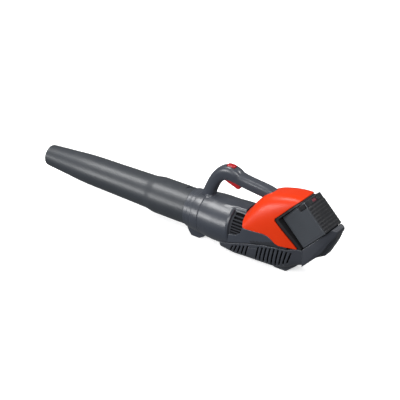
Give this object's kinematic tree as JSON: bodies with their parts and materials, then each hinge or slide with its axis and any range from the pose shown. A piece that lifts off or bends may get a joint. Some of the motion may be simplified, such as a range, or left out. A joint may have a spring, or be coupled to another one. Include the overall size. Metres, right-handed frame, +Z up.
{
  "type": "handheld battery leaf blower",
  "caption": "Handheld battery leaf blower: axial fan case, long tapered tube, loop handle with trigger and a slide-in battery at the rear.",
  "frame": {"origin": "on the ground under the middle of the object's box", "axes": "+X to the rear along the fan axis, the tube pointing to -X; +Y to the machine's right; +Z up"},
  "size_m": [0.986, 0.13, 0.25],
  "materials": {
    "slate_plastic": "satin to gloss slate grey moulding",
    "tube_plastic": "satin charcoal moulding",
    "orange_plastic": "gloss orange-red moulding",
    "guard_plastic": "textured dark grey moulding",
    "black_plastic": "textured black moulding",
    "battery_plastic": "satin dark grey moulding",
    "red_plastic": "gloss red moulding",
    "foot_rubber": "matt dark rubber",
    "fan_nylon": "glass-filled black nylon",
    "steel": "ground steel",
    "aluminium": "as cast and turned",
    "copper": "enamelled copper windings",
    "board_green": "lacquered circuit board",
    "cell_wrap": "shrink sleeve and lens",
    "lead_rubber": "silicone lead insulation"
  },
  "bodies": {
    "housing": {"housing_left": "slate_plastic", "housing_right": "slate_plastic", "outlet_collar": "slate_plastic", "rear_cover": "orange_plastic", "base_guard": "guard_plastic", "tail_guard": "guard_plastic", "front_foot": "foot_rubber", "rear_foot": "foot_rubber", "motor_can": "aluminium", "motor_stator": "copper", "front_bearing": "steel", "rear_bearing": "steel", "guide_vanes": "guard_plastic", "controller_board": "board_green", "heat_sink": "aluminium", "trigger_pin": "steel", "trigger_switch": "black_plastic", "button_spring": "steel", "trigger_spring": "steel", "handle_screw_1": "steel", "handle_screw_2": "steel", "handle_screw_3": "steel", "switch_leads": "lead_rubber", "motor_leads": "lead_rubber", "battery_leads": "lead_rubber", "bay_liner": "black_plastic", "terminal_block": "black_plastic"},
    "tube": {"nozzle_tube": "tube_plastic"},
    "rotor": {"fan": "fan_nylon", "fan_spinner": "fan_nylon", "motor_shaft": "steel", "motor_rotor": "steel"},
    "trigger": {"trigger": "red_plastic"},
    "top_button": {"top_button": "red_plastic"},
    "battery": {"battery_case": "battery_plastic", "battery_end": "black_plastic", "battery_cap": "black_plastic", "cell_pack": "cell_wrap", "battery_board": "board_green", "charge_window": "cell_wrap"},
    "latch_left": {"battery_button_left": "black_plastic"},
    "latch_right": {"battery_button_right": "black_plastic"},
    "charge_button": {"charge_button": "black_plastic"}
  },
  "joints": [
    {"name": "tube_twist", "type": "hinge", "parent": "housing", "child": "tube", "pos_m": [0, 0, 0.078], "axis": [1, 0, 0], "range_deg": [0, 14]},
    {"name": "fan_spin", "type": "hinge", "parent": "housing", "child": "rotor", "pos_m": [0.118, 0, 0.078], "axis": [1, 0, 0], "continuous": true},
    {"name": "trigger_pull", "type": "hinge", "parent": "housing", "child": "trigger", "pos_m": [0.133, 0, 0.208], "axis": [0, -1, 0], "range_deg": [0, 9], "stiffness_Nm_per_rad": 0.25, "springref_deg": -6.88, "deforming": ["trigger_spring"]},
    {"name": "button_press", "type": "slide", "parent": "housing", "child": "top_button", "axis": [0, 0, -1], "range_m": [0, 0.0035], "stiffness_N_per_m": 400, "springref_m": -0.003, "deforming": ["button_spring"]},
    {"name": "battery_slide", "type": "slide", "parent": "housing", "child": "battery", "axis": [0.7071, 0, 0.7071], "range_m": [0, 0.07]},
    {"name": "latch_left_press", "type": "slide", "parent": "battery", "child": "latch_left", "axis": [0, 1, 0], "range_m": [0, 0.003], "stiffness_N_per_m": 500, "springref_m": -0.002},
    {"name": "latch_right_press", "type": "slide", "parent": "battery", "child": "latch_right", "axis": [0, -1, 0], "range_m": [0, 0.003], "stiffness_N_per_m": 500, "springref_m": -0.002},
    {"name": "charge_press", "type": "slide", "parent": "battery", "child": "charge_button", "axis": [-0.7071, 0, -0.7071], "range_m": [0, 0.0008], "stiffness_N_per_m": 500, "springref_m": -0.001}
  ]
}
